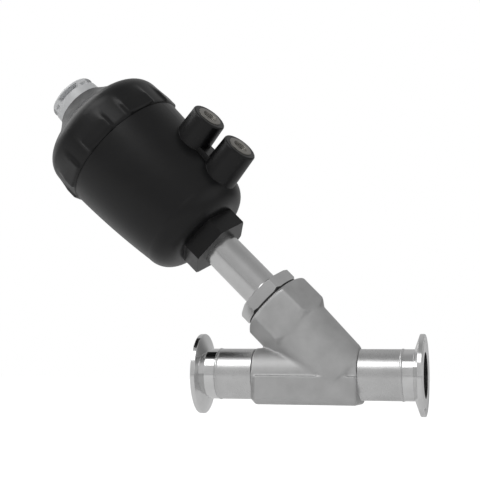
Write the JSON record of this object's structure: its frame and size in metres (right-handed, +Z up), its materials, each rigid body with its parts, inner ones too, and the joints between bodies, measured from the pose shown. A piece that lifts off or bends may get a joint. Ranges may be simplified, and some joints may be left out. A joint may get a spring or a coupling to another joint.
{
  "type": "angle seat valve",
  "caption": "Two-way angle seat valve with clamp ferrules, slanted hexagon bonnet and a ported piston actuator with a clear position indicator.",
  "frame": {"origin": "centre of the outlet ferrule's gasket face, on the pipe axis", "axes": "+X along the pipe towards the inlet ferrule, +Z up, the stem leans back over the outlet in the XZ plane"},
  "size_m": [0.2486, 0.0916, 0.2237],
  "materials": {
    "polished_steel": "machined and polished stainless steel",
    "tube_steel": "satin stainless tube",
    "cast_steel": "glass-blasted stainless casting",
    "bar_steel": "turned stainless bar",
    "black_plastic": "moulded glass-filled polyamide, satin black",
    "clear_plastic": "clear moulded plastic",
    "insert_metal": "nickel-plated brass",
    "bearing_bronze": "sintered bronze",
    "white_seal": "PTFE",
    "rubber_seal": "moulded elastomer",
    "spring_steel": "oil-tempered spring wire",
    "piston_plastic": "moulded plastic",
    "indicator_red": "moulded plastic"
  },
  "bodies": {
    "valve": {"outlet_ferrule": "polished_steel", "inlet_ferrule": "polished_steel", "outlet_tube": "tube_steel", "inlet_tube": "tube_steel", "valve_body": "cast_steel", "bonnet_gasket": "white_seal", "bonnet_nut": "bar_steel", "guide_bush": "bearing_bronze", "packing_spring": "spring_steel", "packing_washer": "bar_steel", "packing_rings": "white_seal", "gland_ring": "white_seal", "yoke_tube": "bar_steel", "yoke_bush": "bearing_bronze", "stem_seal": "rubber_seal", "thrust_washer": "white_seal", "yoke_circlip": "spring_steel"},
    "plug_and_piston": {"plug": "bar_steel", "seat_seal": "white_seal", "seal_retainer": "bar_steel", "plug_nut": "bar_steel", "plug_pin": "bar_steel", "stem": "bar_steel", "piston": "piston_plastic", "piston_seal": "rubber_seal", "piston_guide_ring": "white_seal", "piston_washer": "bar_steel", "piston_nut": "bar_steel", "indicator_rod": "piston_plastic", "indicator_tip": "indicator_red"},
    "actuator": {"lower_housing": "black_plastic", "upper_housing": "black_plastic", "lower_port_insert": "insert_metal", "upper_port_insert": "insert_metal", "outer_spring": "spring_steel", "inner_spring": "spring_steel", "spring_plate": "bar_steel", "yoke_seal": "rubber_seal", "housing_seal": "rubber_seal", "indicator_cap": "clear_plastic", "cap_seal": "rubber_seal"}
  },
  "joints": [
    {"name": "stem_slide", "type": "slide", "parent": "valve", "child": "plug_and_piston", "axis": [-0.7071, 0, 0.7071], "range_m": [0, 0.014], "stiffness_N_per_m": 2000, "springref_m": -0.02, "deforming": ["outer_spring", "inner_spring"]},
    {"name": "actuator_swivel", "type": "hinge", "parent": "valve", "child": "actuator", "pos_m": [0.01169, 0, 0.08111], "axis": [-0.7071, 0, 0.7071], "continuous": true}
  ]
}
